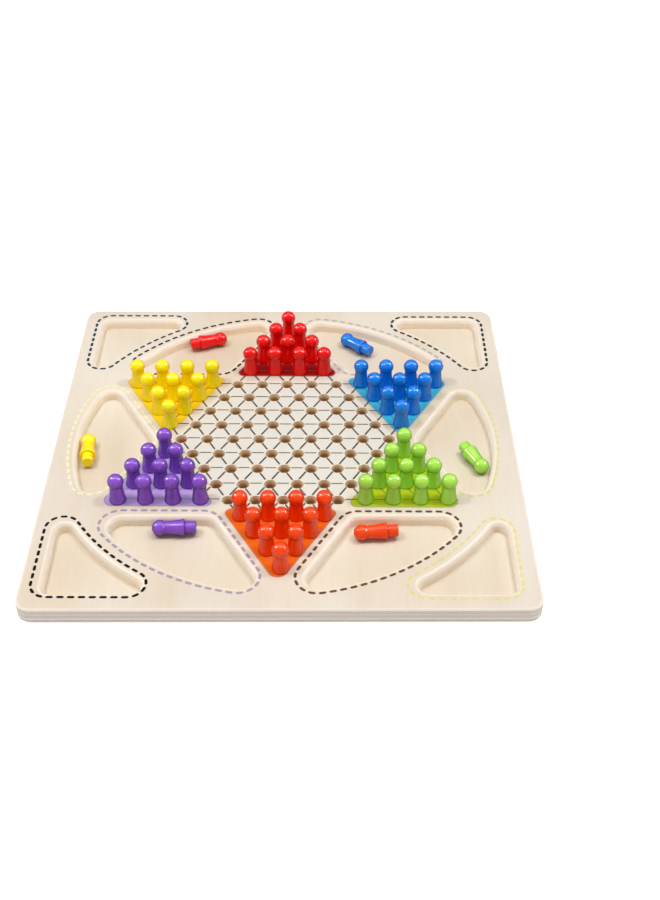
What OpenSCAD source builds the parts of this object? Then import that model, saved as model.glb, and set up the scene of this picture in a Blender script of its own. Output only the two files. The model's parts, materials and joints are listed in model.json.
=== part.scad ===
// Wooden peg board for the six-cornered star game known as Chinese checkers.
// A top plate, cut right through with 121 peg holes and ten loose-piece pockets,
// is glued to a thin base plate that floors them. Sixty turned pawns stand in
// the six points of the star, and one spare pawn of each colour lies in a pocket.
// Millimetres. The origin is the centre of the board's underside and +Z is up.
// The red point of the star faces +Y.

/* [Board] */
// Side of the square board
board_side = 300; // [296:1:312]
// Radius of the board's four corners
board_corner_r = 9; // [2:0.5:12]
// Thickness of the top plate, which the holes and pockets are cut through
top_plate_t = 7; // [6.8:0.1:9]
// Thickness of the base plate glued under it
base_plate_t = 3; // [2:0.5:6]

/* [Star of peg holes] */
// Distance between neighbouring holes
hole_pitch = 17; // [16.6:0.1:17.2]
// Diameter of a peg hole
hole_d = 8; // [7.8:0.1:9]

/* [Pockets] */
// From the star's outer line of hole centres to the wall of a side pocket
star_to_pocket = 15.5; // [13:0.5:17]
// Radius of the side pockets' curved outer wall, about the board's centre
side_pocket_r = 135; // [132:0.5:138]
// Width of the rib between the side pockets and the corner pockets
rib_w = 16; // [14:0.5:20]
// From the board's edge to the straight walls of a corner pocket
corner_pocket_margin = 13.5; // [11:0.5:16]
// Radius of the corners of a side pocket
side_corner_r = 8; // [4:0.5:9]
// Radius of the corners of a corner pocket
corner_corner_r = 5.5; // [3:0.5:7]

/* [Pawns] */
// Diameter of the peg
peg_d = 7.6; // [6.8:0.1:7.6]
// Length of the peg below the foot
peg_len = 6.7; // [5:0.1:6.7]
// Diameter of the foot, which rests on the board
foot_d = 10.6; // [10:0.1:12]
// Diameter of the neck
neck_d = 8.2; // [6:0.1:8.4]
// Height of the body from the foot to the head
body_h = 12.4; // [10:0.1:14]
// Diameter of the ball head
head_d = 10; // [9:0.1:10.5]

/* [Hidden] */
$fn = 64;
COLOURS = ["red", "yellow", "purple", "orange", "green", "blue"];
PAINTS = ["#d3151b", "#f7d708", "#7e4fc4", "#ee4a17", "#79c83a", "#1560d0"];
// Home pawns 1 to 7 of a colour are single nodes, and the last three share one
LONE_PAWNS = 7;

// Where each colour's spare pawn lies: x and y of its middle, and which way its head points
SPARES = [
    [-58, 113, 20],         // red
    [-128, -8.5, 96],       // yellow
    [-65.5, -81.5, 180],    // purple
    [56.5, -85, 184],       // orange
    [122.5, -17, -64],      // green
    [49, 109, 138],         // blue
];

board_t = base_plate_t + top_plate_t;
overcut = 1;                        // how far a cutter runs past a face
arms = 4;                           // hole steps from the centre to a corner of the hexagon
row_step = hole_pitch * sin(60);    // between neighbouring rows of holes
star_edge = arms * row_step;        // from the centre to the line through a point's side
side_wall = star_edge + star_to_pocket;
corner_wall = board_side / 2 - corner_pocket_margin;
corner_pocket_r = side_pocket_r + rib_w;

foot_edge_r = 0.9;                  // rounding of the foot's rim
peg_chamfer = 0.6;
neck_len = 0.9;                     // straight stretch under the head
flank_steps = 8;
flank_power = 1.5;                  // 1 is a straight cone, more is hollower
head_z = body_h + sqrt(pow(head_d / 2, 2) - pow(neck_d / 2, 2));
pawn_top = head_z + head_d / 2;
// A lying pawn rests on its foot and its head, so it leans by this much
lie_angle = asin((foot_d - head_d) / 2 / (head_z - foot_edge_r));

// Points along an arc, counterclockwise when to is greater than from
function arc(centre, r, from, to, steps = 8) =
    [for (i = [0:steps]) let (a = from + (to - from) * i / steps) centre + r * [cos(a), sin(a)]];

function bearing(p) = atan2(p.y, p.x);
function flipped(p) = [p.x, -p.y];

// Outline of the side pocket that points along +X: two straight walls parallel to
// the sides of the star's points, and an outer wall concentric with the board
function side_pocket(wall, outer_r, r) =
    let (
        inner = [(wall + r) / sin(60), 0],
        reach = sqrt(pow(outer_r - r, 2) - pow(wall + r, 2)),
        upper = (wall + r) * [sin(60), -cos(60)] + reach * [cos(60), sin(60)],
        sweep = bearing(upper)
    )
    concat(
        arc(inner, r, 150, 210),
        arc(flipped(upper), r, 210, 360 - sweep),
        arc([0, 0], outer_r, -sweep, sweep, 40),
        arc(upper, r, sweep, 150)
    );

// Outline of the corner pocket in the +X +Y corner: two walls parallel to the
// board's edges, and a hollow inner wall concentric with the board
function corner_pocket(wall, inner_r, r) =
    let (
        across = wall - r,
        along = sqrt(pow(inner_r + r, 2) - pow(across, 2)),
        low = atan2(along, across),
        high = 90 - low
    )
    concat(
        arc([across, across], r, 0, 90),
        arc([along, across], r, 90, 180 + high, 16),
        arc([0, 0], inner_r, high, low, 30),
        arc([across, along], r, 180 + low, 360, 16)
    );

function board_outline() =
    let (c = board_side / 2 - board_corner_r)
    [for (q = [0:3]) each arc(c * [sqrt(2) * cos(45 + 90 * q), sqrt(2) * sin(45 + 90 * q)],
                              board_corner_r, 90 * q, 90 * q + 90)];

// A hole belongs to the star when its three hexagonal coordinates are all at
// least -arms, or all at most arms: two large triangles laid over each other
function in_star(a, b) = min(a, b, -a - b) >= -arms || max(a, b, -a - b) <= arms;
HOLES = [
    for (a = [-2 * arms:2 * arms], b = [-2 * arms:2 * arms])
        if (in_star(a, b)) [(a + b / 2) * hole_pitch, b * row_step]
];

// Place of home pawn n (1 to 10) in the star's +Y point, row by row outwards
function home_row(n) = n <= 4 ? 1 : n <= 7 ? 2 : n <= 9 ? 3 : 4;
function home_place(n) =
    let (row = home_row(n), first = [1, 5, 8, 10][row - 1], count = arms + 1 - row)
    [(n - first - (count - 1) / 2) * hole_pitch, (arms + row) * row_step];

module plate(thickness) {
    linear_extrude(thickness) polygon(board_outline());
}

module top_plate() {
    color("#ecdcc4") translate([0, 0, base_plate_t])
        difference() {
            plate(top_plate_t);
            translate([0, 0, -overcut]) {
                for (place = HOLES)
                    translate(place) cylinder(h = top_plate_t + 2 * overcut, d = hole_d);
                for (turn = [0:60:300])
                    rotate(turn) linear_extrude(top_plate_t + 2 * overcut)
                        polygon(side_pocket(side_wall, side_pocket_r, side_corner_r));
                for (turn = [0:90:270])
                    rotate(turn) linear_extrude(top_plate_t + 2 * overcut)
                        polygon(corner_pocket(corner_wall, corner_pocket_r, corner_corner_r));
            }
        }
}

module base_plate() {
    color("#e4d2b8") plate(base_plate_t);
}

// Lathe profile of the peg, foot, body and neck, with the foot's underside at zero
function pawn_profile() = concat(
    [[0, -peg_len], [peg_d / 2 - peg_chamfer, -peg_len], [peg_d / 2, peg_chamfer - peg_len]],
    [[peg_d / 2, 0]],
    arc([foot_d / 2 - foot_edge_r, foot_edge_r], foot_edge_r, -90, 0, 6),
    [for (i = [1:flank_steps]) let (t = i / flank_steps)
        [neck_d / 2 + (foot_d - neck_d) / 2 * pow(1 - t, flank_power),
         foot_edge_r + t * (body_h - neck_len - foot_edge_r)]],
    [[neck_d / 2, head_z], [0, head_z]]
);

// One turned pawn, standing, with its foot at z = 0 and its peg below
module pawn() {
    rotate_extrude() polygon(pawn_profile());
    translate([0, 0, head_z]) sphere(d = head_d);
}

module home_pawn(team, n) {
    color(PAINTS[team]) rotate(60 * team) translate([0, 0, board_t])
        translate(home_place(n)) pawn();
}

module rear_pawns(team) {
    for (n = [LONE_PAWNS + 1:10]) home_pawn(team, n);
}

// The pawn lies on the pocket's floor, on its head and the rim of its foot
module spare_pawn(team) {
    color(PAINTS[team])
        translate([SPARES[team].x, SPARES[team].y, base_plate_t + foot_d / 2])
            rotate(SPARES[team].z)
                translate([foot_edge_r - (pawn_top - peg_len) / 2, 0, 0])
                    rotate([0, 90 + lie_angle, 0])
                        translate([0, 0, -foot_edge_r]) pawn();
}

top_plate();
base_plate();
for (team = [0:5]) {
    for (n = [1:LONE_PAWNS])
        home_pawn(team, n);
    rear_pawns(team);
    spare_pawn(team);
}
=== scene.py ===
"""A wooden Chinese checkers board: the looks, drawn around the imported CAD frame.

Metres throughout. The CAD holds the plates and the pawns. This script redraws them with softened
edges, adds the printing on the top face, and gives every piece its material.
"""

import json
import math

import bpy
import numpy as np
from mathutils import Matrix, Vector
from mathutils.geometry import delaunay_2d_cdt


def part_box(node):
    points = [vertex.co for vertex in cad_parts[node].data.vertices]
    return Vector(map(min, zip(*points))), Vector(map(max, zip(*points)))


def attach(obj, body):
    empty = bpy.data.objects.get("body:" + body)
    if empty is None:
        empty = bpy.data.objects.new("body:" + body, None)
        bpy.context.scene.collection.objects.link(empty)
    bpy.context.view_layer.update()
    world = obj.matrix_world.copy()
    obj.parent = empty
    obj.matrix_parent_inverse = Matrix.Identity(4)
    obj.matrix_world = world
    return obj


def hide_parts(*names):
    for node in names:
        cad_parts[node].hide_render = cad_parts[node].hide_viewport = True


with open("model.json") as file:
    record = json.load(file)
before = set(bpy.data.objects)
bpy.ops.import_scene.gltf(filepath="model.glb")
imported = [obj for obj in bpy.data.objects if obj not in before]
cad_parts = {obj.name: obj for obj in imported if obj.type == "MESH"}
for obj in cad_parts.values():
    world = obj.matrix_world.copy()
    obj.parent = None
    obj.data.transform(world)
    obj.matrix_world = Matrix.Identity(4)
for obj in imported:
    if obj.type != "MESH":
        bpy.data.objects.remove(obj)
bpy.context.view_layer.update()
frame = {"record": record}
MM = 0.001

# ------------------------------------------------------------------ places read from the frame

TEAMS = ["red", "yellow", "purple", "orange", "green", "blue"]
LONE_PAWNS = 7
HOME_PAWNS = 10


def middle(node):
    """Centre of a CAD node's box."""
    low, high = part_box(node)
    return (low + high) / 2


def mount(name):
    """One of the record's mounts."""
    return next(m for m in frame["record"]["mounts"] if m["name"] == name)


TOP_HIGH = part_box("top_plate")[1]
BASE_LOW, BASE_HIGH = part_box("base_plate")
HALF_SIDE = TOP_HIGH.x
FACE_Z = TOP_HIGH.z
FLOOR_Z = BASE_HIGH.z
PITCH = middle("red_pawn_2").x - middle("red_pawn_1").x
ROW_STEP = PITCH * math.sin(math.radians(60))
HOLE_R = mount("centre_peg_hole")["dims"]["r_mm"] * MM

# ------------------------------------------------------------------ the board's own sizes

ARMS = 4                            # hole steps from the centre to a corner of the hexagon
BOARD_CORNER_R = 9 * MM
SIDE_CORNER_R = 8 * MM              # corners of a side pocket
CORNER_CORNER_R = 5.5 * MM          # and of a corner pocket
SIDE_WALL = ARMS * ROW_STEP + 15.5 * MM
SIDE_POCKET_R = 135 * MM
CORNER_WALL = HALF_SIDE - 13.5 * MM
CORNER_POCKET_R = SIDE_POCKET_R + 16 * MM

OUTER_RIM = 1.6 * MM                # rounding of the board's upper edge
LOWER_RIM = 0.6 * MM                # and of its lower edge
POCKET_RIM = 3.2 * MM
HOLE_RIM = 0.35 * MM
SEAM_RIM = 0.18 * MM                # where the two plates meet at the board's side

# Depths of the glue lines below each plate's top
TOP_GLUE_LINES = [1.2 * MM, 3.0 * MM, 4.8 * MM, 5.8 * MM]
BASE_GLUE_LINES = [1.0 * MM, 2.0 * MM]
CUT_SIDE = 5 * MM                   # how far in from its sides the board's cut edges reach
PALE_HEXAGON = ARMS * ROW_STEP + 5 * MM

INK = 0.05 * MM                     # height that printing stands above the wood
PRINT_CLEARANCE = 0.1 * MM          # left bare round each hole's rim
# The printing sits a little out of line with the holes: how far in X and Y, and its turn in degrees
PRINT_SHIFT = (-0.9 * MM, 0.7 * MM)
PRINT_TURN = -0.4
FIELD_BASE_MARGIN = 6.0 * MM        # from a field's holes to its printed edge, next to the hexagon
FIELD_SIDE_MARGIN = 6.6 * MM        # and along its two outer sides
FIELD_CORNER_R = 4 * MM
FIELD_TIP_R = 5.8 * MM
FIELD_OUTLINE_W = 0.7 * MM
LINE_W = 1.1 * MM
ROW_LINE_W = 0.7 * MM               # the lines that run along X are finer
LINE_GAP = 4.3 * MM                 # from a hole's centre to the start of a printed line
DASH_OFFSET = 4.9 * MM              # from a pocket's wall to its dashed outline
DASH_LENGTH = 4.4 * MM
DASH_PERIOD = 6.15 * MM
DASH_W = 1.8 * MM

PEG_R = 3.8 * MM
PEG_LENGTH = 6.7 * MM
FOOT_R = 5.3 * MM
NECK_R = 4.1 * MM
BODY_HEIGHT = 12.4 * MM
HEAD_R = 5 * MM
HEAD_Z = BODY_HEIGHT + math.sqrt(HEAD_R**2 - NECK_R**2)     # centre of the head above the foot
FOOT_EDGE = 0.9 * MM
NECK_STRAIGHT = 0.9 * MM
FLANK_POWER = 1.5                   # how hollow the flank is between foot and neck
FLANK_STEPS = 14
NECK_FILLET = 0.15 * MM
PEG_EDGE = 0.6 * MM                 # rounding of the peg's end
PEG_FILLET = 0.25 * MM              # and of the corner between peg and foot

# Where each spare pawn lies, in millimetres and degrees: x and y of its middle, and its head's bearing
SPARES = {
    "red": (-58, 113, 20),
    "yellow": (-128, -8.5, 96),
    "purple": (-65.5, -81.5, 180),
    "orange": (56.5, -85, 184),
    "green": (122.5, -17, -64),
    "blue": (49, 109, 138),
}

# ------------------------------------------------------------------ outlines
# An outline is a closed list of (x, y, nx, ny): a point and the direction out of the shape.


def arc(centre, radius, start, stop, steps, out=1):
    """Points along an arc in degrees. out is -1 where the shape lies outside the circle."""
    points = []
    for i in range(steps + 1):
        a = math.radians(start + (stop - start) * i / steps)
        c, s = math.cos(a), math.sin(a)
        points.append((centre[0] + radius * c, centre[1] + radius * s, out * c, out * s))
    return points


def joined(*stretches):
    """Arcs in order as one outline, each shared end point kept once."""
    outline = []
    for point in (p for stretch in stretches for p in stretch):
        if not outline or math.dist(point[:2], outline[-1][:2]) > 1e-6:
            outline.append(point)
    if math.dist(outline[0][:2], outline[-1][:2]) < 1e-6:
        outline.pop()
    return np.array(outline)


def turned(outline, degrees, about=(0, 0)):
    """The outline rotated about a point."""
    a = math.radians(degrees)
    turn = np.array([[math.cos(a), -math.sin(a)], [math.sin(a), math.cos(a)]])
    made = outline.copy()
    made[:, :2] = (outline[:, :2] - about) @ turn.T + about
    made[:, 2:] = outline[:, 2:] @ turn.T
    return made


def printed(outline):
    """An outline or a path where the printing really landed."""
    shape = np.asarray(outline, float)
    landed = np.zeros((len(shape), 4))
    landed[:, :shape.shape[1]] = shape
    landed = turned(landed, PRINT_TURN)
    landed[:, :2] += PRINT_SHIFT
    return landed[:, :shape.shape[1]]


def rounded_square(half, radius, steps=10):
    """A square with round corners, given as half its side."""
    c = half - radius
    corners = [(c, c), (-c, c), (-c, -c), (c, -c)]
    return joined(*[arc(p, radius, 90 * i, 90 * i + 90, steps) for i, p in enumerate(corners)])


def circle(centre, radius, steps=36):
    return joined(arc(centre, radius, 0, 360, steps))


def side_pocket(wall, outer_r, r):
    """The pocket that points along +X, as in the CAD."""
    inner = ((wall + r) / math.sin(math.radians(60)), 0)
    reach = math.sqrt((outer_r - r) ** 2 - (wall + r) ** 2)
    x = (wall + r) * math.sin(math.radians(60)) + reach * 0.5
    y = -(wall + r) * 0.5 + reach * math.sin(math.radians(60))
    sweep = math.degrees(math.atan2(y, x))
    return joined(
        arc(inner, r, 150, 210, 10),
        arc((x, -y), r, 210, 360 - sweep, 14),
        arc((0, 0), outer_r, -sweep, sweep, 64),
        arc((x, y), r, sweep, 150, 14),
    )


def corner_pocket(wall, inner_r, r):
    """The pocket in the +X +Y corner, as in the CAD."""
    across = wall - r
    along = math.sqrt((inner_r + r) ** 2 - across**2)
    low = math.degrees(math.atan2(along, across))
    high = 90 - low
    return joined(
        arc((across, across), r, 0, 90, 12),
        arc((along, across), r, 90, 180 + high, 18),
        arc((0, 0), inner_r, high, low, 44, out=-1),
        arc((across, along), r, 180 + low, 360, 18),
    )


def side_pockets(grow=0.0):
    """The six side pockets, each grown outwards by the same distance."""
    one = side_pocket(SIDE_WALL - grow, SIDE_POCKET_R + grow, SIDE_CORNER_R + grow)
    return [turned(one, 60 * i) for i in range(6)]


def corner_pockets(grow=0.0):
    """The four corner pockets, grown in the same way."""
    one = corner_pocket(CORNER_WALL + grow, CORNER_POCKET_R - grow, CORNER_CORNER_R + grow)
    return [turned(one, 90 * i) for i in range(4)]


def hole_places():
    """Centres of the 121 holes, keyed by their steps along two of the lattice's directions."""
    places = {}
    for a in range(-2 * ARMS, 2 * ARMS + 1):
        for b in range(-2 * ARMS, 2 * ARMS + 1):
            steps = (a, b, -a - b)
            if min(steps) >= -ARMS or max(steps) <= ARMS:
                places[a, b] = ((a + b / 2) * PITCH, b * ROW_STEP)
    return places


def home_places(team):
    """Centres of a team's ten home holes, row by row outwards."""
    a = math.radians(60 * TEAMS.index(team))
    places = []
    for row in range(1, ARMS + 1):
        count = ARMS + 1 - row
        for i in range(count):
            x, y = (i - (count - 1) / 2) * PITCH, (ARMS + row) * ROW_STEP
            places.append((x * math.cos(a) - y * math.sin(a), x * math.sin(a) + y * math.cos(a)))
    return places


def field_outline(team, grow=0.0):
    """The printed triangle round a team's home holes, grown outwards by a distance."""
    side = FIELD_SIDE_MARGIN + grow
    low = (ARMS + 1) * ROW_STEP - FIELD_BASE_MARGIN - grow
    c30, s30 = math.cos(math.radians(30)), 0.5
    # the sides keep this distance from the board's centre, measured square to them
    reach = 1.5 * PITCH * c30 + (ARMS + 1) * ROW_STEP * s30 + side
    corner_r, tip_r = FIELD_CORNER_R + grow, FIELD_TIP_R + grow
    corner = ((reach - corner_r - (low + corner_r) * s30) / c30, low + corner_r)
    outline = joined(
        arc(corner, corner_r, -90, 30, 12),
        arc((0, (reach - tip_r) / s30), tip_r, 30, 150, 14),
        arc((-corner[0], corner[1]), corner_r, 150, 270, 12),
    )
    return turned(outline, 60 * TEAMS.index(team))


# ------------------------------------------------------------------ meshes


def new_piece(name, vertices, faces, body, slot_name):
    """A mesh object that rides on a CAD body."""
    mesh = bpy.data.meshes.new(name)
    mesh.from_pydata([tuple(v) for v in vertices], [], faces)
    mesh.validate()
    mesh.update()
    piece = bpy.data.objects.new(name, mesh)
    bpy.context.scene.collection.objects.link(piece)
    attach(piece, body)
    return piece


def inside(points, outline):
    """Which of the points lie inside the outline, by counting crossings."""
    x, y = points[:, 0], points[:, 1]
    found = np.zeros(len(points), bool)
    ends = np.roll(outline[:, :2], -1, axis=0)
    for (x0, y0), (x1, y1) in zip(outline[:, :2], ends):
        if y0 != y1:
            crosses = (y0 > y) != (y1 > y)
            found ^= crosses & (x < (x1 - x0) * (y - y0) / (y1 - y0) + x0)
    return found


def sheet_triangles(loops):
    """Triangles of the sheet inside loops[0] and outside the others, as indices into all loops."""
    points, edges = [], []
    for loop in loops:
        first = len(points)
        points += [Vector(p) for p in loop]
        edges += [(first + i, first + (i + 1) % len(loop)) for i in range(len(loop))]
    made = delaunay_2d_cdt(points, edges, [], 1, 1e-7)
    to_input = [origins[0] for origins in made[3]]
    triangles = np.array([[to_input[i] for i in face] for face in made[2]])
    flat = np.array([tuple(p) for p in points])
    centres = flat[triangles].mean(axis=1)
    keep = inside(centres, np.array(loops[0]))
    for loop in loops[1:]:
        keep &= ~inside(centres, np.array(loop))
    triangles = triangles[keep]
    a, b, c = (flat[triangles[:, i]] for i in range(3))
    clockwise = np.cross(b - a, c - a) < 0
    triangles[clockwise] = triangles[clockwise][:, ::-1]
    return triangles.tolist()


def rim_profile(low, high, top_r, bottom_r, steps=6):
    """(inset, z) from the top face, round the rim, down the wall and round the lower rim."""
    rings = []
    if top_r:
        for i in range(steps + 1):
            a = math.radians(90 * i / steps)
            rings.append((top_r * (1 - math.sin(a)), high - top_r * (1 - math.cos(a))))
    else:
        rings.append((0, high))
    if bottom_r:
        for i in range(steps + 1):
            a = math.radians(90 * i / steps)
            rings.append((bottom_r * (1 - math.cos(a)), low + bottom_r * (1 - math.sin(a))))
    else:
        rings.append((0, low))
    return rings


def plate(outlines, low, high, top_rims, bottom_rims):
    """Vertices, faces and wall-face owners of a plate. outlines[0] is its edge, the rest are cut out."""
    profiles = [rim_profile(low, high, t, b) for t, b in zip(top_rims, bottom_rims)]
    vertices, faces, owners = [], [], []
    tops, bottoms = [], []
    for owner, (outline, profile) in enumerate(zip(outlines, profiles)):
        side = -1 if owner == 0 else 1
        rings = []
        for inset, z in profile:
            first = len(vertices)
            at = outline[:, :2] + side * inset * outline[:, 2:]
            vertices += [(x, y, z) for x, y in at]
            rings.append(range(first, first + len(outline)))
        for upper, lower in zip(rings, rings[1:]):
            for i in range(len(outline)):
                j = (i + 1) % len(outline)
                quad = (upper[i], lower[i], lower[j], upper[j])
                faces.append(quad if owner == 0 else quad[::-1])
                owners.append(owner)
        tops.append(rings[0])
        bottoms.append(rings[-1])
    top_index = [i for ring in tops for i in ring]
    bottom_index = [i for ring in bottoms for i in ring]
    loops = [[vertices[i][:2] for i in ring] for ring in tops]
    for a, b, c in sheet_triangles(loops):
        faces.append((top_index[a], top_index[b], top_index[c]))
        faces.append((bottom_index[c], bottom_index[b], bottom_index[a]))
        owners += [-1, -1]
    return vertices, faces, owners


def smooth_walls(piece, owners):
    """Rims and walls shade smoothly, and the flat faces stay flat."""
    piece.data.polygons.foreach_set("use_smooth", [owner >= 0 for owner in owners])
    piece.data.set_sharp_from_angle(angle=math.radians(40))


def ribbon(points, width, low, high):
    """A thin closed strip with round ends along a path. Returns vertices and faces."""
    half = width / 2
    points = np.array(points)
    tangents = np.gradient(points, axis=0)
    tangents /= np.linalg.norm(tangents, axis=1)[:, None]
    lefts = np.stack([-tangents[:, 1], tangents[:, 0]], axis=1)
    edge = list(points - half * lefts)
    edge += round_end(points[-1], tangents[-1], half)
    edge += list((points + half * lefts)[::-1])
    edge += round_end(points[0], -tangents[0], half)
    count = len(edge)
    vertices = [(x, y, high) for x, y in edge] + [(x, y, low) for x, y in edge]
    faces = [tuple(range(count)), tuple(range(2 * count - 1, count - 1, -1))]
    for i in range(count):
        j = (i + 1) % count
        faces.append((j, i, count + i, count + j))
    return vertices, faces


def round_end(point, tangent, half, steps=4):
    """The points of the half circle that closes a ribbon, from its right to its left."""
    left = np.array([-tangent[1], tangent[0]])
    made = []
    for i in range(1, steps):
        a = math.pi * i / steps
        made.append(point + half * (math.sin(a) * tangent - math.cos(a) * left))
    return made


def merged(parts):
    """Several (vertices, faces) as one."""
    vertices, faces = [], []
    for part_vertices, part_faces in parts:
        first = len(vertices)
        vertices += part_vertices
        faces += [tuple(first + i for i in face) for face in part_faces]
    return vertices, faces


def along(outline, distances):
    """Points at these distances along a closed outline."""
    closed = np.vstack([outline, outline[:1]])
    marks = np.concatenate([[0], np.cumsum(np.hypot(*np.diff(closed[:, :2], axis=0).T))])
    at = np.asarray(distances) % marks[-1]
    return np.stack([np.interp(at, marks, closed[:, i]) for i in range(2)], axis=1)


def outline_length(outline):
    """The length of a closed outline."""
    closed = np.vstack([outline, outline[:1]])
    return float(np.hypot(*np.diff(closed[:, :2], axis=0).T).sum())


def lathe(profile, segments=48):
    """Vertices and faces of a turned solid. The profile runs from axis to axis, bottom to top."""
    vertices = [(0, 0, profile[0][1])]
    rings = []
    for radius, z in profile[1:-1]:
        rings.append(range(len(vertices), len(vertices) + segments))
        for i in range(segments):
            a = 2 * math.pi * i / segments
            vertices.append((radius * math.cos(a), radius * math.sin(a), z))
    vertices.append((0, 0, profile[-1][1]))
    top = len(vertices) - 1
    faces = []
    for i in range(segments):
        j = (i + 1) % segments
        faces.append((0, rings[0][j], rings[0][i]))
        faces.append((rings[-1][i], rings[-1][j], top))
        for lower, upper in zip(rings, rings[1:]):
            faces.append((lower[i], lower[j], upper[j], upper[i]))
    return vertices, faces


# ------------------------------------------------------------------ materials


def srgb(red, green, blue):
    """A colour picked on a 0 to 255 screen scale, as the linear values shaders use."""
    def linear(value):
        value /= 255
        return value / 12.92 if value <= 0.04045 else ((value + 0.055) / 1.055) ** 2.4
    return (linear(red), linear(green), linear(blue), 1)


class Shader:
    """A node material, built up one node at a time. An input takes a value or another node's output."""

    def __init__(self, name):
        self.material = bpy.data.materials.new(name)
        self.material.use_nodes = True
        self.nodes = self.material.node_tree.nodes
        self.links = self.material.node_tree.links
        self.surface = self.nodes["Principled BSDF"]
        self.place = self.node("ShaderNodeTexCoord").outputs["Object"]

    def feed(self, socket, value):
        if isinstance(value, bpy.types.NodeSocket):
            self.links.new(value, socket)
        else:
            socket.default_value = value

    def node(self, kind, inputs=None, **settings):
        made = self.nodes.new(kind)
        for key, value in settings.items():
            setattr(made, key, value)
        for key, value in (inputs or {}).items():
            self.feed(made.inputs[key], value)
        return made

    def stretched(self, x, y, z):
        """Object coordinates scaled along each axis."""
        made = self.node("ShaderNodeMapping", {"Vector": self.place, "Scale": (x, y, z)})
        return made.outputs["Vector"]

    def noise(self, vector, scale=1.0, detail=3.0, roughness=0.5, distortion=0.0):
        inputs = {"Vector": vector, "Scale": scale, "Detail": detail}
        inputs.update({"Roughness": roughness, "Distortion": distortion})
        return self.node("ShaderNodeTexNoise", inputs).outputs["Fac"]

    def remap(self, value, low, high, new_low=0.0, new_high=1.0, smooth=False):
        inputs = {"Value": value, "From Min": low, "From Max": high}
        inputs.update({"To Min": new_low, "To Max": new_high})
        made = self.node("ShaderNodeMapRange", inputs)
        made.interpolation_type = "SMOOTHSTEP" if smooth else "LINEAR"
        return made.outputs["Result"]

    def math(self, operation, a, b=0.0):
        made = self.node("ShaderNodeMath", {0: a, 1: b}, operation=operation)
        return made.outputs["Value"]

    def mix(self, share, a, b, blend="MIX"):
        made = self.node("ShaderNodeMix", data_type="RGBA", blend_type=blend)
        self.feed(made.inputs["Factor"], share)
        self.feed(made.inputs[6], a)
        self.feed(made.inputs[7], b)
        return made.outputs[2]

    def shade(self, colour, tone):
        """The colour made lighter or darker by a tone round 1."""
        grey = self.node("ShaderNodeCombineColor", {0: tone, 1: tone, 2: tone}).outputs[0]
        return self.mix(1.0, colour, grey, blend="MULTIPLY")

    def facing(self):
        """The surface's direction, as its X, Y and Z outputs."""
        normal = self.node("ShaderNodeNewGeometry").outputs["Normal"]
        return self.node("ShaderNodeSeparateXYZ", {"Vector": normal}).outputs

    def bump(self, height, distance, strength):
        inputs = {"Height": height, "Distance": distance, "Strength": strength}
        return self.node("ShaderNodeBump", inputs).outputs["Normal"]

    def finish(self, colour, roughness, normal=None, **extra):
        self.feed(self.surface.inputs["Base Color"], colour)
        self.feed(self.surface.inputs["Roughness"], roughness)
        if normal is not None:
            self.feed(self.surface.inputs["Normal"], normal)
        for key, value in extra.items():
            self.feed(self.surface.inputs[key.replace("_", " ")], value)
        return self.material


WOOD_FACE = srgb(209, 196, 182)
WOOD_WARM = srgb(203, 186, 162)
WOOD_PALE = srgb(220, 212, 198)
WOOD_FLECK = srgb(196, 168, 134)
HEXAGON_TINT = srgb(206, 203, 194)
PLY_VENEER_AND_HIGHLIGHT = srgb(255, 250, 242)
PLY_LONG = srgb(232, 219, 208)
PLY_END = srgb(222, 208, 198)
GLUE_LINE = srgb(178, 160, 148)
# Painted highlight for the start of each rim, paler than the face.
RIM_PAINTED_HIGHLIGHT = srgb(227, 213, 197)
# Pocket walls: painted light, much paler than the face wood they are cut from.
WALL_LONG_GRAIN_PAINTED_LIGHT = srgb(254, 243, 226)
WALL_END_GRAIN_PAINTED_LIGHT = srgb(254, 237, 212)
# Peg hole walls: painted light near the rim, paler than the face wood.
HOLE_RIM_PAINTED_LIGHT = srgb(234, 216, 190)
POCKET_FLOOR = srgb(206, 192, 171)
POCKET_FLOOR_WARM = srgb(199, 181, 155)
# Peg hole walls: painted shade, deepening down the hole.
HOLE_SHALLOW_SHADE = srgb(232, 204, 166)
HOLE_DEEP_SHADE = srgb(154, 112, 64)
FLOOR_WHITE = srgb(250, 250, 249)

# Painted shade: the paint is made darker in the crease under each head, where the crease is in shade,
# and at the pawn's outline, where it is turned away from the eye: 0 faces the eye and 1 is side on.
CREASE_SHADE_REACH = 2.5 * MM
CREASE_SHADE_COVER = 0.95
OUTLINE_SHADE_FROM, OUTLINE_SHADE_TO = 0.35, 0.78
OUTLINE_SHADE_COVER = 0.92


def grain(shader):
    """Birch face grain along Y: fibres, soft figure and short flecks. Returns three 0 to 1 values."""
    fibres = shader.noise(shader.stretched(1500, 38, 400), detail=3.0, roughness=0.6)
    figure = shader.noise(shader.stretched(34, 5, 20), detail=4.0, roughness=0.55, distortion=0.6)
    flecks = shader.noise(shader.stretched(2300, 150, 500), detail=1.0)
    return fibres, figure, shader.remap(flecks, 0.66, 0.78, smooth=True)


def face_colour(shader, base, warm):
    """Colour of a sanded birch face, with its fibre pattern for the bump."""
    fibres, figure, flecks = grain(shader)
    clouds = shader.noise(shader.place, scale=7.0, detail=2.0)
    colour = shader.mix(shader.remap(figure, 0.36, 0.7), base, warm)
    colour = shader.mix(shader.remap(clouds, 0.42, 0.7, 0.0, 0.6), colour, WOOD_PALE)
    colour = shader.shade(colour, shader.remap(fibres, 0.3, 0.75, 1.02, 0.965))
    return shader.mix(shader.math("MULTIPLY", flecks, 0.25), colour, WOOD_FLECK), fibres


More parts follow.
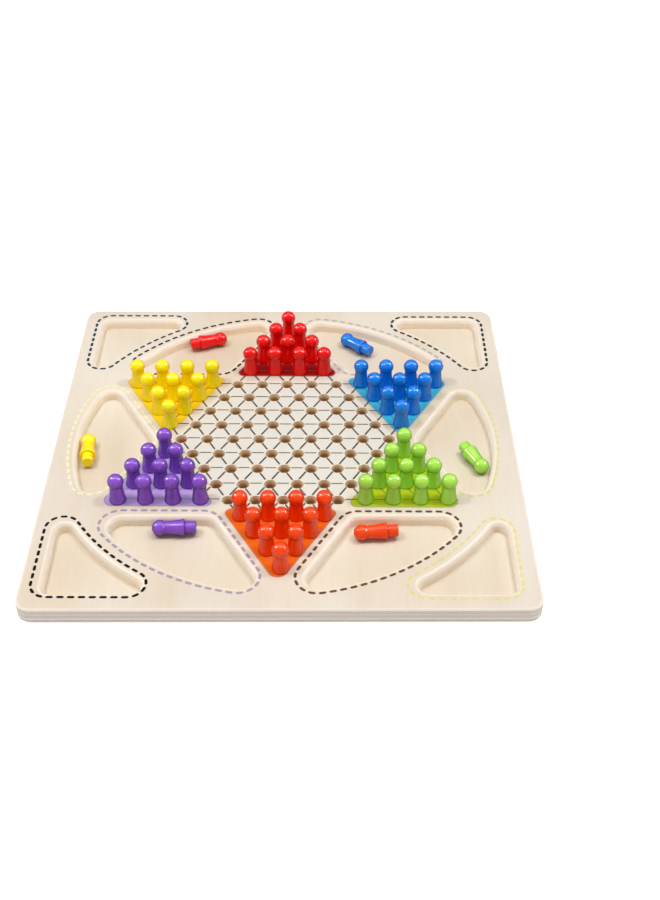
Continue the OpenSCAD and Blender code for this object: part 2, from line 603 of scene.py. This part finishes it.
def ply_colour(shader, glue_lines, top):
    """Colour of a cut plywood edge: pale veneer on top, painted near white as a highlight, then layers that
    turn by a quarter.
    """
    height = shader.node("ShaderNodeSeparateXYZ", {"Vector": shader.place}).outputs["Z"]
    waver = shader.noise(shader.stretched(60, 60, 30), detail=2.0)
    depth = shader.math("SUBTRACT", top, height)
    depth = shader.math("ADD", depth, shader.remap(waver, 0, 1, -0.12 * MM, 0.12 * MM))
    streaks = shader.noise(shader.stretched(700, 700, 2600), detail=3.0, roughness=0.7)
    end_grain = 0.0
    glue = 0.0
    for i, at in enumerate(glue_lines):
        step = shader.math("GREATER_THAN", depth, at)
        sign = 1.0 if i % 2 == 0 else -1.0
        end_grain = shader.math("ADD", end_grain, shader.math("MULTIPLY", step, sign))
        apart = shader.math("ABSOLUTE", shader.math("SUBTRACT", depth, at))
        line = shader.remap(apart, 0.05 * MM, 0.16 * MM, 1.0, 0.0, smooth=True)
        glue = shader.math("MAXIMUM", glue, line)
    colour = shader.mix(end_grain, PLY_LONG, PLY_END)
    # The top veneer is painted near white: the veneer's own paleness plus a painted highlight for the light
    # on the rounded upper edge.
    veneer = shader.math("LESS_THAN", depth, glue_lines[0])
    colour = shader.mix(veneer, colour, PLY_VENEER_AND_HIGHLIGHT)
    colour = shader.mix(shader.remap(streaks, 0.35, 0.75, 0.0, 0.45), colour, GLUE_LINE)
    return shader.mix(shader.math("MULTIPLY", glue, 0.75), colour, GLUE_LINE), streaks


def in_hexagon(shader, reach, soft):
    """1 inside the playing hexagon and 0 outside it."""
    across = 0.0
    for degrees in (30, 90, 150):
        a = math.radians(degrees)
        axis = (math.cos(a), math.sin(a), 0)
        dot = shader.node("ShaderNodeVectorMath", {0: shader.place, 1: axis}, operation="DOT_PRODUCT")
        far = shader.math("ABSOLUTE", dot.outputs["Value"])
        across = shader.math("MAXIMUM", across, far)
    return shader.remap(across, reach - soft, reach, 1.0, 0.0, smooth=True)


def near_side(shader):
    """1 at the board's outer sides and 0 inside them."""
    place = shader.node("ShaderNodeSeparateXYZ", {"Vector": shader.place}).outputs
    far_x, far_y = (shader.math("ABSOLUTE", place[axis]) for axis in ("X", "Y"))
    return shader.math("GREATER_THAN", shader.math("MAXIMUM", far_x, far_y), HALF_SIDE - CUT_SIDE)


def plywood(name, top, glue_lines, base=WOOD_FACE, warm=WOOD_WARM, hexagon=0.0):
    """Plywood: face grain where the surface lies flat, glued layers where it is cut, a painted highlight
    along the rims, and pocket walls painted pale as painted light.
    """
    shader = Shader(name)
    face, fibres = face_colour(shader, base, warm)
    if hexagon:
        tint = shader.math("MULTIPLY", in_hexagon(shader, hexagon, 2 * MM), 0.75)
        face = shader.mix(tint, face, HEXAGON_TINT)
    layers, streaks = ply_colour(shader, glue_lines, top)
    facing = shader.facing()
    # The pocket walls are painted pale as painted light; walls facing along Y, on end grain, are a little
    # darker, for the end grain and as painted shade.
    across = shader.remap(shader.math("ABSOLUTE", facing["Y"]), 0.45, 1.0, smooth=True)
    wall = shader.mix(across, WALL_LONG_GRAIN_PAINTED_LIGHT, WALL_END_GRAIN_PAINTED_LIGHT)
    wall = shader.mix(shader.remap(streaks, 0.35, 0.75, 0.0, 0.3), wall, layers)
    outside = near_side(shader)
    up = shader.math("ABSOLUTE", facing["Z"])
    cut = shader.remap(up, 0.35, 0.75, 1.0, 0.0, smooth=True)
    # Painted highlight: a paler band where the face starts to turn over a rim, for the light the rim
    # catches.
    rim_highlight = shader.remap(up, 0.97, 0.999, 0.8, 0.0, smooth=True)
    colour = shader.mix(rim_highlight, face, RIM_PAINTED_HIGHLIGHT)
    colour = shader.mix(cut, colour, shader.mix(outside, wall, layers))
    roughness = shader.remap(fibres, 0.3, 0.7, 0.48, 0.6)
    relief = shader.math("ADD", shader.math("MULTIPLY", fibres, 0.6), shader.math("MULTIPLY", streaks, cut))
    return shader.finish(colour, roughness, shader.bump(relief, 0.05 * MM, 0.35))


def hole_wall_painted_shade():
    """The wall of a peg hole, in painted light and shade: pale at the rim, browner the deeper it goes, most
    on the end grain facing along Y.
    """
    shader = Shader("hole_wall_painted_shade")
    mottle = shader.noise(shader.stretched(420, 420, 900), detail=3.0, roughness=0.6)
    height = shader.node("ShaderNodeSeparateXYZ", {"Vector": shader.place}).outputs["Z"]
    ragged = shader.math("ADD", height, shader.remap(mottle, 0, 1, -0.6 * MM, 0.6 * MM))
    # Painted shade: the wall turns browner, then dark brown, the deeper it goes; walls facing X stay pale
    # as painted light.
    shallow_shade = shader.remap(ragged, FACE_Z, FACE_Z - 2.4 * MM)
    deep_shade = shader.remap(ragged, FACE_Z - 1.6 * MM, FACE_Z - 4.6 * MM)
    along_grain = shader.math("ABSOLUTE", shader.facing()["Y"])
    end_grain = shader.remap(along_grain, 0.5, 0.92, 0.05, 1.0, smooth=True)
    colour = shader.mix(shader.math("MULTIPLY", shallow_shade, end_grain), HOLE_RIM_PAINTED_LIGHT, HOLE_SHALLOW_SHADE)
    colour = shader.mix(shader.math("MULTIPLY", deep_shade, end_grain), colour, HOLE_DEEP_SHADE)
    return shader.finish(colour, 0.75, shader.bump(mottle, 0.08 * MM, 0.5))


def ink(name, colour, cover=1.0):
    """Printing ink on bare wood: the grain shows a little through it."""
    shader = Shader(name)
    fibres, figure, flecks = grain(shader)
    thin = shader.remap(fibres, 0.35, 0.75, cover, cover - 0.02)
    thin = shader.math("SUBTRACT", thin, shader.math("MULTIPLY", flecks, 0.03))
    shown = shader.mix(thin, WOOD_FACE, colour)
    shown = shader.shade(shown, shader.remap(figure, 0.3, 0.7, 1.04, 0.95))
    roughness = shader.remap(fibres, 0.3, 0.7, 0.5, 0.6)
    relief = shader.bump(fibres, 0.03 * MM, 0.25)
    return shader.finish(shown, roughness, relief, Specular_IOR_Level=0.06)


def gloss_paint(name, colour, deep):
    """Thick gloss paint on turned wood: a slight ripple, uneven tone, and painted shade in the creases and
    along the outline.
    """
    shader = Shader(name)
    ripple = shader.noise(shader.place, scale=420.0, detail=2.0)
    pool = shader.noise(shader.place, scale=160.0, detail=2.0, distortion=0.4)
    own = shader.node("ShaderNodeObjectInfo").outputs["Random"]
    shown = shader.mix(shader.remap(pool, 0.35, 0.75, 0.0, 0.45), colour, deep)
    shown = shader.shade(shown, shader.remap(own, 0.0, 1.0, 0.95, 1.05))
    # Painted shade: the colour darkens where ambient occlusion finds the crease under the head.
    inputs = {"Distance": CREASE_SHADE_REACH}
    open_air = shader.node("ShaderNodeAmbientOcclusion", inputs, samples=8, only_local=True)
    crease_shade = shader.remap(open_air.outputs["AO"], 0.55, 0.98, CREASE_SHADE_COVER, 0.0)
    painted_shade_colour = shader.mix(1.0, deep, deep, blend="MULTIPLY")
    shown = shader.mix(crease_shade, shown, painted_shade_colour)
    # Painted shade: the colour darkens towards the outline, where the surface turns away from the eye.
    turned_away = shader.node("ShaderNodeLayerWeight", {"Blend": 0.5}).outputs["Facing"]
    edge = shader.remap(turned_away, OUTLINE_SHADE_FROM, OUTLINE_SHADE_TO, 0.0, OUTLINE_SHADE_COVER)
    shown = shader.mix(edge, shown, painted_shade_colour)
    roughness = shader.remap(ripple, 0.3, 0.7, 0.15, 0.24)
    normal = shader.bump(ripple, 0.12 * MM, 0.2)
    return shader.finish(shown, roughness, normal, Specular_IOR_Level=0.36)


# ------------------------------------------------------------------ the board


def draw_top_plate():
    """The top plate with soft rims. Its hole walls have their own material."""
    holes = [circle(place, HOLE_R) for place in hole_places().values()]
    pockets = side_pockets() + corner_pockets()
    outlines = [rounded_square(HALF_SIDE, BOARD_CORNER_R)] + pockets + holes
    top_rims = [OUTER_RIM] + [POCKET_RIM] * len(pockets) + [HOLE_RIM] * len(holes)
    bottom_rims = [SEAM_RIM] + [0.0] * (len(outlines) - 1)
    vertices, faces, owners = plate(outlines, FLOOR_Z, FACE_Z, top_rims, bottom_rims)
    piece = new_piece("top_plate_birch", vertices, faces, "board", "birch_top")
    smooth_walls(piece, owners)
    wood = plywood("birch_top", FACE_Z, TOP_GLUE_LINES, hexagon=PALE_HEXAGON)
    piece.data.materials.append(wood)
    piece.data.materials.append(hole_wall_painted_shade())
    first_hole = 1 + len(pockets)
    piece.data.polygons.foreach_set("material_index", [int(owner >= first_hole) for owner in owners])
    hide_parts("top_plate")


def draw_base_plate():
    """The base plate, whose face is the floor of the pockets and holes."""
    outline = rounded_square(HALF_SIDE, BOARD_CORNER_R)
    made = plate([outline], BASE_LOW.z, FLOOR_Z, [SEAM_RIM], [LOWER_RIM])
    piece = new_piece("base_plate_birch", *made[:2], "board", "birch_base")
    smooth_walls(piece, made[2])
    wood = plywood("birch_base", FLOOR_Z, BASE_GLUE_LINES, POCKET_FLOOR, POCKET_FLOOR_WARM)
    piece.data.materials.append(wood)
    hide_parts("base_plate")


# ------------------------------------------------------------------ the printing

FIELD_INKS = {
    "red": srgb(148, 3, 4),
    "yellow": srgb(230, 194, 10),
    "purple": srgb(178, 151, 205),
    "orange": srgb(220, 96, 6),
    "green": srgb(176, 188, 20),
    "blue": srgb(50, 170, 200),
}
OUTLINE_INKS = {
    "red": srgb(140, 10, 14),
    "yellow": srgb(206, 166, 16),
    "purple": srgb(136, 120, 166),
    "orange": srgb(176, 84, 14),
    "green": srgb(132, 144, 20),
    "blue": srgb(28, 132, 170),
}
FIELD_LATTICE_INKS = {
    "red": srgb(146, 8, 12),
    "yellow": srgb(170, 124, 20),
    "purple": srgb(142, 126, 172),
    "orange": srgb(212, 92, 8),
    "green": srgb(120, 134, 20),
    "blue": srgb(24, 120, 168),
}
LINE_INK = srgb(56, 49, 42)
# Dashed outlines, by the bearing of the pocket
SIDE_DASH_INKS = {
    0: srgb(206, 198, 140),
    60: srgb(166, 166, 152),
    120: srgb(38, 24, 24),
    180: srgb(226, 216, 178),
    240: srgb(156, 142, 154),
    300: srgb(98, 66, 42),
}
CORNER_DASH_INKS = {
    45: srgb(30, 48, 42),
    135: srgb(28, 56, 72),
    225: srgb(24, 2, 4),
    315: srgb(212, 200, 132),
}


def draw_field(team):
    """The coloured triangle under a team's pawns, open at its ten holes, and its thin outline."""
    outline = printed(field_outline(team))
    bare = HOLE_R + HOLE_RIM + PRINT_CLEARANCE
    holes = [circle(place, bare, 32) for place in home_places(team)]
    flat = [0.0] * (1 + len(holes))
    made = plate([outline] + holes, FACE_Z - INK, FACE_Z + INK, flat, flat)
    piece = new_piece(f"field_{team}", *made[:2], "board", f"{team}_paint")
    piece.data.materials.append(ink(f"field_ink_{team}", FIELD_INKS[team]))
    width = FIELD_OUTLINE_W / 2
    outer = printed(field_outline(team, width))
    inner = printed(field_outline(team, -width))
    made = plate([outer, inner], FACE_Z - INK, FACE_Z + 2 * INK, [0, 0], [0, 0])
    piece = new_piece(f"field_edge_{team}", *made[:2], "board", f"{team}_paint")
    piece.data.materials.append(ink(f"field_edge_ink_{team}", OUTLINE_INKS[team], cover=0.75))


def clear_of_hole(end, towards, hole, width):
    """The point on a printed line, from its end inwards, where it is clear of the drilled hole."""
    along_line = (towards - end) / np.linalg.norm(towards - end)
    offset = end - hole
    back = offset @ along_line
    reach = HOLE_R + HOLE_RIM + PRINT_CLEARANCE / 2 + width / 2
    leaves = -back + math.sqrt(max(reach**2 - offset @ offset + back**2, 0))
    return end + max(LINE_GAP, leaves) * along_line


def printed_line(start, stop, width):
    """A straight printed line between two holes, stopping short of both."""
    first, last = printed([start, stop])
    ends = [clear_of_hole(first, last, np.array(start), width)]
    ends.append(clear_of_hole(last, first, np.array(stop), width))
    return ribbon(ends, width, FACE_Z - INK, FACE_Z + 3 * INK)


def draw_lattice():
    """Lines that join neighbouring holes: one piece for the middle, and one in each home field."""
    places = hole_places()
    homes = {team: {(round(x, 5), round(y, 5)) for x, y in home_places(team)} for team in TEAMS}
    groups = {team: [] for team in TEAMS}
    groups["middle"] = []
    for (a, b), start in places.items():
        for step in ((1, 0), (0, 1), (-1, 1)):
            stop = places.get((a + step[0], b + step[1]))
            if stop is None:
                continue
            ends = {(round(x, 5), round(y, 5)) for x, y in (start, stop)}
            group = next((t for t in TEAMS if ends <= homes[t]), "middle")
            width = ROW_LINE_W if step == (1, 0) else LINE_W
            groups[group].append(printed_line(start, stop, width))
    for group, lines in groups.items():
        slot_name = "birch_top" if group == "middle" else f"{group}_paint"
        piece = new_piece(f"lattice_{group}", *merged(lines), "board", slot_name)
        colour = LINE_INK if group == "middle" else FIELD_LATTICE_INKS[group]
        piece.data.materials.append(ink(f"lattice_ink_{group}", colour, cover=0.92))


def draw_dashes(name, outline, colour):
    """A dashed line along an outline, with whole dashes all the way round."""
    length = outline_length(outline)
    count = round(length / DASH_PERIOD)
    straight = (DASH_LENGTH - DASH_W) / 2
    dashes = []
    for i in range(count):
        marks = np.linspace(-straight, straight, 5) + length * i / count
        dashes.append(ribbon(along(outline, marks), DASH_W, FACE_Z - INK, FACE_Z + INK))
    piece = new_piece(name, *merged(dashes), "board", "birch_top")
    piece.data.materials.append(ink(f"{name}_ink", colour))


def draw_printing():
    """All that is printed on the top face."""
    for team in TEAMS:
        draw_field(team)
    draw_lattice()
    for bearing, outline in zip(range(0, 360, 60), side_pockets(DASH_OFFSET)):
        draw_dashes(f"dashes_side_{bearing}", printed(outline), SIDE_DASH_INKS[bearing])
    for bearing, outline in zip(range(45, 360, 90), corner_pockets(DASH_OFFSET)):
        draw_dashes(f"dashes_corner_{bearing}", printed(outline), CORNER_DASH_INKS[bearing])


# ------------------------------------------------------------------ the pawns

PAINTS = {
    "red": (srgb(244, 14, 8), srgb(218, 2, 3)),
    "yellow": (srgb(255, 236, 0), srgb(254, 220, 0)),
    "purple": (srgb(138, 82, 198), srgb(106, 52, 170)),
    "orange": (srgb(250, 73, 2), srgb(232, 47, 0)),
    "green": (srgb(173, 226, 82), srgb(146, 208, 60)),
    "blue": (srgb(10, 130, 230), srgb(4, 100, 208)),
}


def pawn_profile():
    """The pawn's outline from the foot of its peg to its crown, as (radius, z) above its foot."""
    def curve(centre_r, centre_z, radius, start, stop, steps):
        angles = [math.radians(start + (stop - start) * i / steps) for i in range(steps + 1)]
        return [(centre_r + radius * math.cos(a), centre_z + radius * math.sin(a)) for a in angles]

    fillet_r = NECK_R + NECK_FILLET
    fillet_z = HEAD_Z - math.sqrt((HEAD_R + NECK_FILLET) ** 2 - fillet_r**2)
    under_head = math.degrees(math.atan2(fillet_z - HEAD_Z, fillet_r))
    flank_height = BODY_HEIGHT - NECK_STRAIGHT - FOOT_EDGE
    flank = []
    for i in range(1, FLANK_STEPS + 1):
        t = i / FLANK_STEPS
        radius = NECK_R + (FOOT_R - NECK_R) * (1 - t) ** FLANK_POWER
        flank.append((radius, FOOT_EDGE + t * flank_height))
    return (
        [(0, -PEG_LENGTH), (PEG_R * 0.5, -PEG_LENGTH)]
        + curve(PEG_R - PEG_EDGE, PEG_EDGE - PEG_LENGTH, PEG_EDGE, -90, 0, 5)
        + [(PEG_R, -PEG_LENGTH / 2)]
        + curve(PEG_R + PEG_FILLET, -PEG_FILLET, PEG_FILLET, 180, 90, 3)
        + curve(FOOT_R - FOOT_EDGE, FOOT_EDGE, FOOT_EDGE, -90, 0, 7)
        + flank
        + curve(fillet_r, fillet_z, NECK_FILLET, 180, 180 + under_head, 5)
        + curve(0, HEAD_Z, HEAD_R, under_head, 88, 20)
        + [(0, HEAD_Z + HEAD_R)]
    )


def moved(part, matrix):
    """(vertices, faces) after a rigid move."""
    vertices, faces = part
    return [tuple(matrix @ Vector(v)) for v in vertices], faces


def lying(team):
    """The rigid move that lays a spare pawn on its pocket's floor, as in the CAD."""
    x, y, bearing = SPARES[team]
    lean = math.asin((FOOT_R - HEAD_R) / (HEAD_Z - FOOT_EDGE))
    middle_z = (HEAD_Z + HEAD_R - PEG_LENGTH) / 2
    return (
        Matrix.Translation((x * MM, y * MM, FLOOR_Z + FOOT_R))
        @ Matrix.Rotation(math.radians(bearing), 4, "Z")
        @ Matrix.Translation((FOOT_EDGE - middle_z, 0, 0))
        @ Matrix.Rotation(math.pi / 2 + lean, 4, "Y")
        @ Matrix.Translation((0, 0, -FOOT_EDGE))
    )


def draw_pawn(name, parts, team, node, paint):
    """A painted piece that stands for one pawn node."""
    piece = new_piece(name, *merged(parts), node, f"{team}_paint")
    piece.data.polygons.foreach_set("use_smooth", [True] * len(piece.data.polygons))
    piece.data.set_sharp_from_angle(angle=math.radians(60))
    piece.data.materials.append(paint)
    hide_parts(node)


def draw_pawns():
    """Every team's standing pawns and its spare."""
    turned_pawn = lathe(pawn_profile())
    for team in TEAMS:
        paint = gloss_paint(f"gloss_{team}", *PAINTS[team])
        standing = []
        for x, y in home_places(team):
            standing.append(moved(turned_pawn, Matrix.Translation((x, y, FACE_Z))))
        for n in range(LONE_PAWNS):
            name = f"{team}_pawn_{n + 1}"
            draw_pawn(f"{name}_turned", [standing[n]], team, name, paint)
        rear = standing[LONE_PAWNS:HOME_PAWNS]
        draw_pawn(f"{team}_rear_pawns_turned", rear, team, f"{team}_rear_pawns", paint)
        spare = moved(turned_pawn, lying(team))
        draw_pawn(f"{team}_spare_pawn_turned", [spare], team, f"{team}_spare_pawn", paint)


# ------------------------------------------------------------------ floor, lights and camera

FLOOR_REACH = 6.0
FLOOR_GAP = 0.1 * MM                # left under the board
FLOOR_LIFT = 0.45                   # glow that only the camera sees, so the floor stays white
SKY = 0.35                          # soft light from all round; the camera sees plain white

SUN_DIRECTION = Vector((0, -0.12, -1))
SUN_POWER = 1.4
SUN_SPREAD = math.radians(45)
# The keys light the board from both sides. The gleams only show as two spots on each head.
KEY_PLACES = {"left_key": (-0.5, -0.1, 1.0), "right_key": (0.5, 0.0, 1.0)}
KEY_POWERS = {"left_key": 4.0, "right_key": 3.6}
KEY_SIZE = 0.14
GLEAM_PLACES = {"left_gleam": (-1.0, 0.15, 0.75), "right_gleam": (1.0, 0.15, 0.75)}
GLEAM_POWER = 14.0
GLEAM_SIZE = 0.34


def add_floor():
    """A pale floor that runs out of sight."""
    mesh = bpy.data.meshes.new("floor")
    quarters = [(-1, -1), (1, -1), (1, 1), (-1, 1)]
    z = BASE_LOW.z - FLOOR_GAP
    mesh.from_pydata([(x * FLOOR_REACH, y * FLOOR_REACH, z) for x, y in quarters], [], [(0, 1, 2, 3)])
    floor = bpy.data.objects.new("floor", mesh)
    bpy.context.scene.collection.objects.link(floor)
    shader = Shader("floor_white")
    speck = shader.noise(shader.place, scale=30.0, detail=2.0)
    shine = shader.remap(speck, 0, 1, 0.6, 0.7)
    seen = shader.node("ShaderNodeLightPath").outputs["Is Camera Ray"]
    lift = shader.math("MULTIPLY", seen, FLOOR_LIFT)
    shader.finish(FLOOR_WHITE, shine, Emission_Color=(1, 1, 1, 1), Emission_Strength=lift)
    floor.data.materials.append(shader.material)


def add_softbox(name, place, size, power):
    """A square white lamp that points at the middle of the board."""
    light = bpy.data.lights.new(name, "AREA")
    light.size = size
    light.energy = power
    lamp = bpy.data.objects.new(name, light)
    bpy.context.scene.collection.objects.link(lamp)
    lamp.location = place
    lamp.rotation_euler = (-Vector(place)).to_track_quat("-Z", "Y").to_euler()
    return lamp


def add_sun():
    """An even, soft light from overhead, the same all over the floor."""
    light = bpy.data.lights.new("overhead", "SUN")
    light.energy = SUN_POWER
    light.angle = SUN_SPREAD
    lamp = bpy.data.objects.new("overhead", light)
    bpy.context.scene.collection.objects.link(lamp)
    lamp.rotation_euler = SUN_DIRECTION.to_track_quat("-Z", "Y").to_euler()


def add_sky():
    """Weak white light from all round. The camera sees it as a plain white background."""
    world = bpy.data.worlds.new("studio")
    world.use_nodes = True
    nodes, links = world.node_tree.nodes, world.node_tree.links
    seen = nodes.new("ShaderNodeLightPath").outputs["Is Camera Ray"]
    strength = nodes.new("ShaderNodeMapRange")
    strength.inputs["To Min"].default_value = SKY
    strength.inputs["To Max"].default_value = 1.0
    links.new(seen, strength.inputs["Value"])
    links.new(strength.outputs["Result"], nodes["Background"].inputs["Strength"])
    nodes["Background"].inputs["Color"].default_value = (1, 1, 1, 1)
    bpy.context.scene.world = world


def add_lights():
    add_sky()
    add_sun()
    for name, place in KEY_PLACES.items():
        add_softbox(name, place, KEY_SIZE, KEY_POWERS[name])
    for name, place in GLEAM_PLACES.items():
        gleam = add_softbox(name, place, GLEAM_SIZE, GLEAM_POWER)
        gleam.visible_diffuse = False


# The camera's place and target, in hole steps from the middle of the board's face
CAMERA_LENS = 48.81
CAMERA_PLACE = Vector((1.385, -36.101, 30.149)) * PITCH
CAMERA_TARGET = Vector((1.72, -0.661, 0)) * PITCH
CAMERA_ROLL = math.radians(0.33)


def add_camera():
    """The camera, at the viewing angle of the reference."""
    lens = bpy.data.cameras.new("camera")
    lens.lens = CAMERA_LENS
    lens.clip_start, lens.clip_end = 0.01, 20
    camera = bpy.data.objects.new("camera", lens)
    bpy.context.scene.collection.objects.link(camera)
    camera.location = CAMERA_PLACE + Vector((0, 0, FACE_Z))
    direction = CAMERA_TARGET - CAMERA_PLACE
    aim = direction.to_track_quat("-Z", "Y").to_matrix().to_4x4()
    camera.rotation_euler = (aim @ Matrix.Rotation(CAMERA_ROLL, 4, "Z")).to_euler()
    bpy.context.scene.camera = camera


draw_top_plate()
draw_base_plate()
draw_printing()
draw_pawns()
add_floor()
add_lights()
add_camera()
bpy.context.scene.view_settings.view_transform = "Standard"
